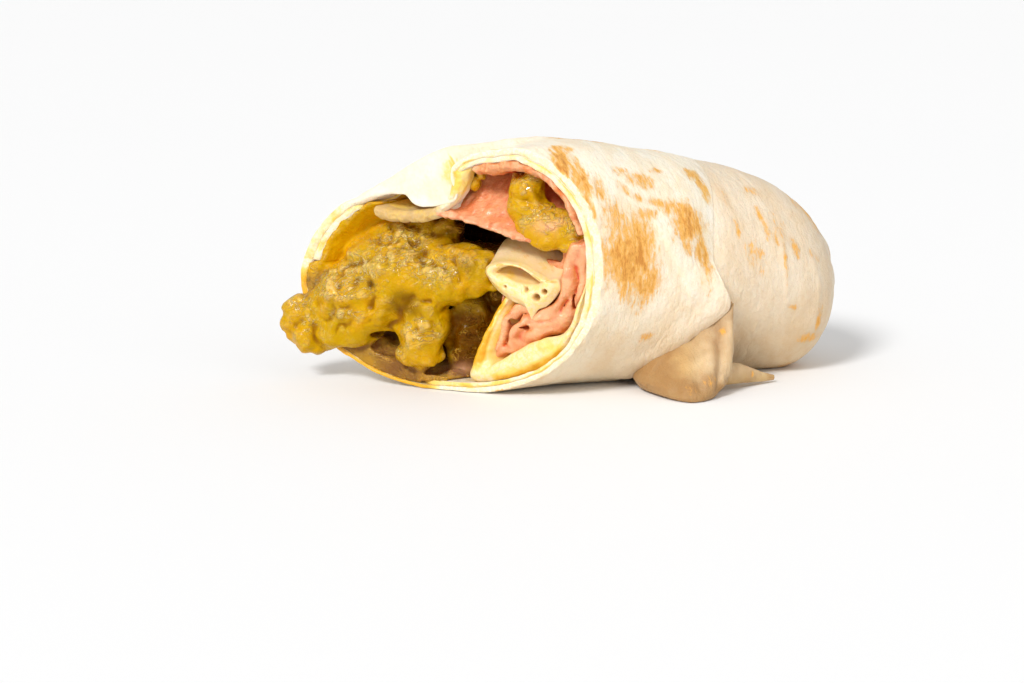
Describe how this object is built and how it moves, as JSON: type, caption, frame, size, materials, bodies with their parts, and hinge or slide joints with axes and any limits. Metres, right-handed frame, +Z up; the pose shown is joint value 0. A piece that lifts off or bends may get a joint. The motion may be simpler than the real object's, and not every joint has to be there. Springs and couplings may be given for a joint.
{
  "type": "burrito half",
  "caption": "Half of a flour tortilla roll cut on the slant, with mash, ham and the rolled inner end showing at the cut, a folded shut end and a pouch with a tail.",
  "frame": {"origin": "middle of the small flat spot that the roll rests on, in its underside", "axes": "+X along the roll from the cut to the folded end, +Z up as it lies, -Y towards the side with the pouch"},
  "size_m": [0.1279, 0.0748, 0.0578],
  "materials": {
    "tortilla": "soft floury matt tortilla with golden brown toasted patches",
    "inner_tortilla": "moist cream tortilla stained yellow by the filling",
    "ham": "moist pink sliced ham with fine fibres",
    "mash": "wet lumpy mustard coloured mash"
  },
  "bodies": {
    "root": {"tortilla": "tortilla", "tortilla_inner_fold": "inner_tortilla", "ham_side": "ham", "ham_top": "ham", "ham_hanging": "ham", "mash": "mash", "mash_side": "mash"}
  },
  "joints": []
}
